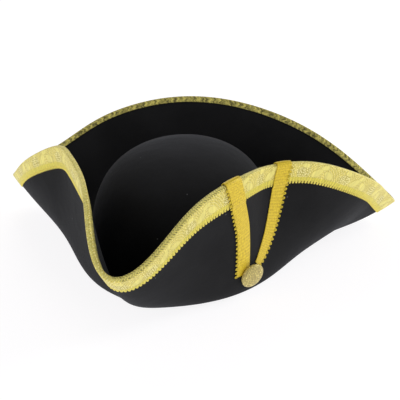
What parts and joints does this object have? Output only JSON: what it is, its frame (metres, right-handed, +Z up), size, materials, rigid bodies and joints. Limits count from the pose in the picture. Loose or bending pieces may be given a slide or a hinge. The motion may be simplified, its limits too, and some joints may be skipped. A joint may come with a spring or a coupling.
{
  "type": "tricorn hat",
  "caption": "Black felt tricorn hat with its brim turned up on the sides, lace folded over the whole edge, and a ribbon loop held by a covered button on the wearer's left.",
  "frame": {"origin": "middle of the bounding box's foot, on the surface that the hat rests on", "axes": "+Z up through the crown, -Y the front corner, +X the wearer's left"},
  "size_m": [0.3938, 0.3626, 0.1183],
  "materials": {
    "felt": "smooth matte wool felt, black",
    "lace": "woven metallic gold lace with leaves, a plain edge strip and small picots",
    "ribbon": "woven yellow-gold braid with small picots on one edge",
    "button_cloth": "crackled pale gold metallic cloth over a domed button"
  },
  "bodies": {
    "root": {"hat_body": "felt", "edge_trim": "lace", "loop_ribbon_front": "ribbon", "loop_ribbon_rear": "ribbon", "button": "button_cloth"}
  },
  "joints": []
}
